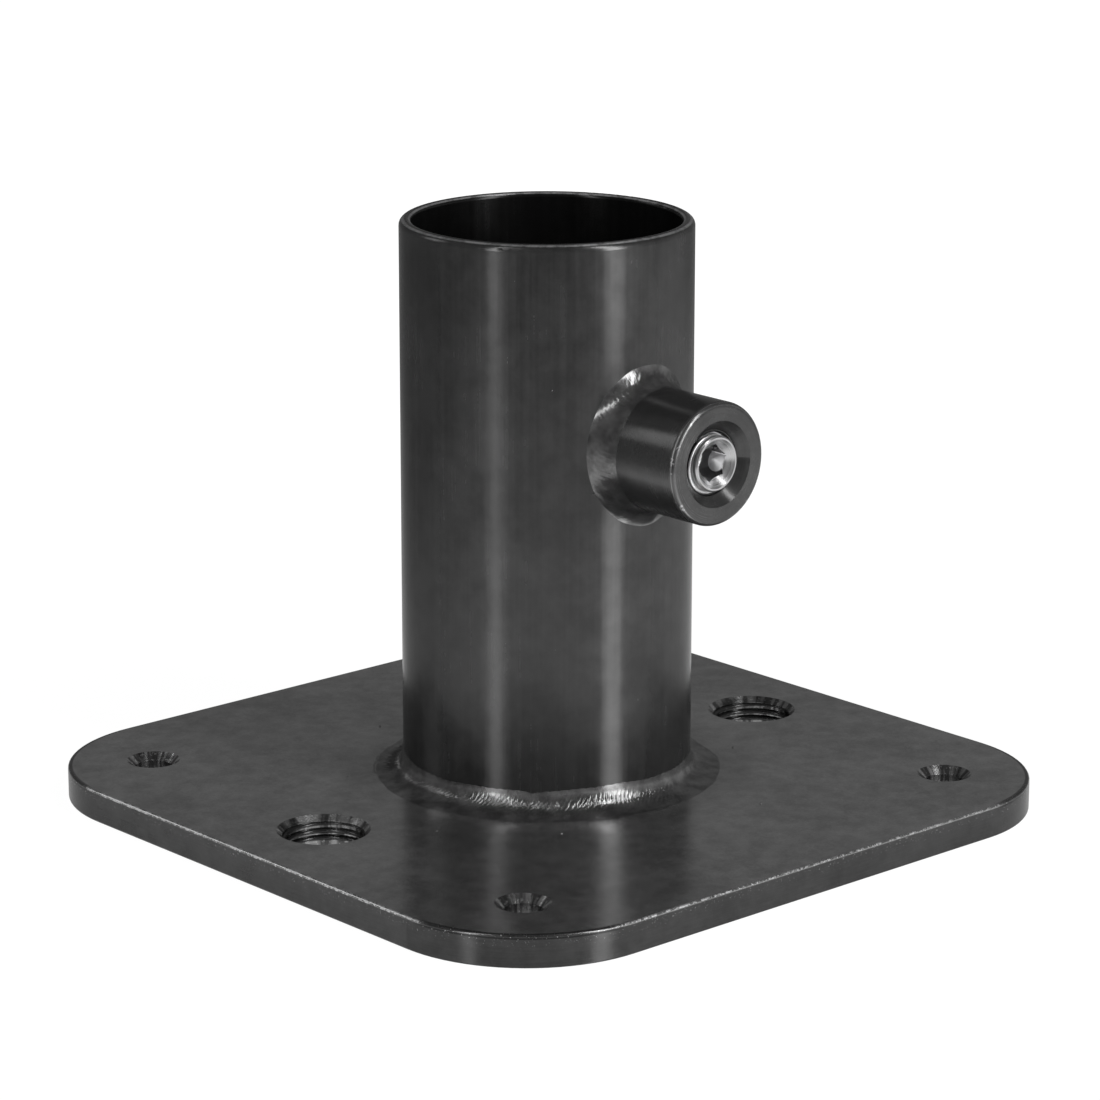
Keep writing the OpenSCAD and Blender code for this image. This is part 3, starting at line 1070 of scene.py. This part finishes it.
# World: a dim room with a brighter right wall and a soft light at the right, white where the camera sees it
worldLook = {
    "dim": 0.11,
    "low": 0.08,
    "lowReach": (0.1, 0.45),
    "backTurn": 48.0,
    "wall": 0.06,
    "wallBack": (0.1, 0.85),
    "wallRight": (-0.5, 0.5),
    "side": 0.3,
    "sideRight": (0.6, 0.95),
    "sideRise": (0.2, 0.6),
}


def lightWorld():
    look = worldLook
    world = bpy.data.worlds.new("studio")
    bpy.context.scene.world = world
    world.use_nodes = True
    sheet = Sheet(world.node_tree)
    way = sheet.vector("NORMALIZE", sheet.node("ShaderNodeTexCoord").outputs["Generated"])
    toBack = sheet.vector("DOT_PRODUCT", way, flatWay(look["backTurn"]))
    toRight = sheet.vector("DOT_PRODUCT", way, flatWay(look["backTurn"] - 90))
    rise = sheet.split(way)[2]
    wall = sheet.times(sheet.ramp(toBack, *look["wallBack"]), sheet.ramp(toRight, *look["wallRight"]))
    low = sheet.ramp(rise, *look["lowReach"], look["low"], 0.0)
    side = sheet.times(sheet.ramp(toRight, *look["sideRight"]),
                       sheet.ramp(rise, *look["sideRise"], look["side"], 0.0))
    level = sheet.plus(sheet.plus(look["dim"], low), sheet.plus(sheet.times(wall, look["wall"]), side))
    isCamera = sheet.node("ShaderNodeLightPath").outputs["Is Camera Ray"]
    background = world.node_tree.nodes["Background"]
    sheet.feed(background.inputs["Color"], sheet.greyOf(sheet.mixValue(isCamera, level, 1.0)))
    background.inputs["Strength"].default_value = 1.0


lightWorld()


# Lamps: turn in degrees, lengths in metres and power in watts
lampLook = {
    "left strip": {"turn": -172, "away": 1.0, "rise": 0.8, "aimRise": 0.8,
                   "width": 0.15, "height": 1.6, "power": 5.0},
    "right strip": {"turn": -79.5, "away": 1.0, "rise": 0.8, "aimRise": 0.8,
                    "width": 0.24, "height": 1.6, "power": 12.0},
    "back soft light": {"turn": 125, "away": 1.0, "rise": 0.56, "aimRise": 0.08,
                        "width": 0.32, "height": 0.36, "power": 0.75},
}


def hangLamps():
    for name, look in lampLook.items():
        data = bpy.data.lights.new(name, "AREA")
        data.shape = "RECTANGLE"
        data.size = look["width"]
        data.size_y = look["height"]
        data.energy = look["power"]
        lamp = bpy.data.objects.new(name, data)
        bpy.context.scene.collection.objects.link(lamp)
        place = Vector(polar(look["turn"], look["away"], look["rise"]))
        lamp.location = place
        towards = Vector((0, 0, look["aimRise"])) - place
        lamp.rotation_euler = towards.to_track_quat("-Z", "Y").to_euler()
        lamp.visible_camera = False


hangLamps()
print("studio lit")


cameraLook = {
    "azimuth": -41.9385,
    "elevation": 15.3277,
    "roll": 0.0253,
    "distance": 828.8 * mm,
    "aim": (1.66 * mm, 0.93 * mm, 50.54 * mm),
    "lens": 137.74,
    "sensor": 36,
}


def placeCamera():
    look = cameraLook
    turn, rise, roll = (math.radians(look[key]) for key in ("azimuth", "elevation", "roll"))
    back = Vector((math.sin(turn) * math.cos(rise), -math.cos(turn) * math.cos(rise), math.sin(rise)))
    right = Vector((math.cos(turn), math.sin(turn), 0))
    up = back.cross(right)
    right, up = (right * math.cos(roll) + up * math.sin(roll), up * math.cos(roll) - right * math.sin(roll))
    data = bpy.data.cameras.new("camera")
    data.lens = look["lens"]
    data.sensor_width = look["sensor"]
    camera = bpy.data.objects.new("camera", data)
    bpy.context.scene.collection.objects.link(camera)
    camera.matrix_world = Matrix((
        (right.x, up.x, back.x, 0), (right.y, up.y, back.y, 0), (right.z, up.z, back.z, 0), (0, 0, 0, 1)))
    camera.location = Vector(look["aim"]) + back * look["distance"]
    bpy.context.scene.camera = camera


placeCamera()
bpy.context.scene.view_settings.view_transform = "Standard"
print("camera placed")
